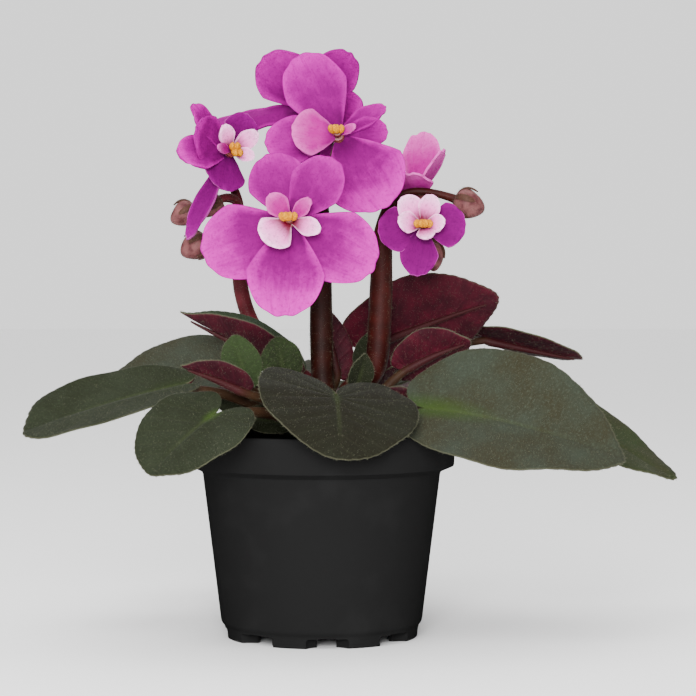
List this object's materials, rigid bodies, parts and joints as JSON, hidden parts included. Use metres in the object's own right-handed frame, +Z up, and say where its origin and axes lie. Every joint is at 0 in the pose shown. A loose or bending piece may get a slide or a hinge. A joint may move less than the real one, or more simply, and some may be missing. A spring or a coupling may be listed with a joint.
{
  "type": "potted african violet",
  "caption": "African violet in a small black nursery pot, with a rosette of hairy heart-shaped leaves and purple double blooms on branching stalks.",
  "frame": {"origin": "bottom centre of the whole plant's box, on the surface the pot stands on", "axes": "+X to the right along the plant's widest spread, +Y to the back, away from the front bloom, +Z up"},
  "size_m": [0.1682, 0.1228, 0.1529],
  "materials": {
    "black_plastic": "satin",
    "potting_soil": "matte",
    "crown_stem": "matte",
    "leaf": "matte",
    "flower_stalk": "matte",
    "purple_petal": "matte",
    "pale_petal": "matte",
    "anther": "matte"
  },
  "bodies": {
    "root": {"pot": "black_plastic", "soil": "potting_soil", "crown": "crown_stem", "leaf_01": "leaf", "leaf_02": "leaf", "leaf_03": "leaf", "leaf_04": "leaf", "leaf_05": "leaf", "leaf_06": "leaf", "leaf_07": "leaf", "leaf_08": "leaf", "leaf_09": "leaf", "leaf_10": "leaf", "leaf_11": "leaf", "leaf_12": "leaf", "leaf_13": "leaf", "leaf_14": "leaf", "leaf_15": "leaf", "leaf_16": "leaf", "leaf_17": "leaf", "leaf_18": "leaf", "stalk_left": "flower_stalk", "stalk_centre": "flower_stalk", "stalk_right": "flower_stalk", "bloom_front_petals": "purple_petal", "bloom_front_inner": "pale_petal", "bloom_front_anthers": "anther", "bloom_top_petals": "purple_petal", "bloom_top_inner": "pale_petal", "bloom_top_anthers": "anther", "bloom_rear_petals": "purple_petal", "bloom_rear_inner": "pale_petal", "bloom_rear_anthers": "anther", "bloom_left_petals": "purple_petal", "bloom_left_inner": "pale_petal", "bloom_left_anthers": "anther", "bloom_low_petals": "purple_petal", "bloom_low_inner": "pale_petal", "bloom_low_anthers": "anther", "bloom_high_petals": "purple_petal"}
  },
  "joints": []
}
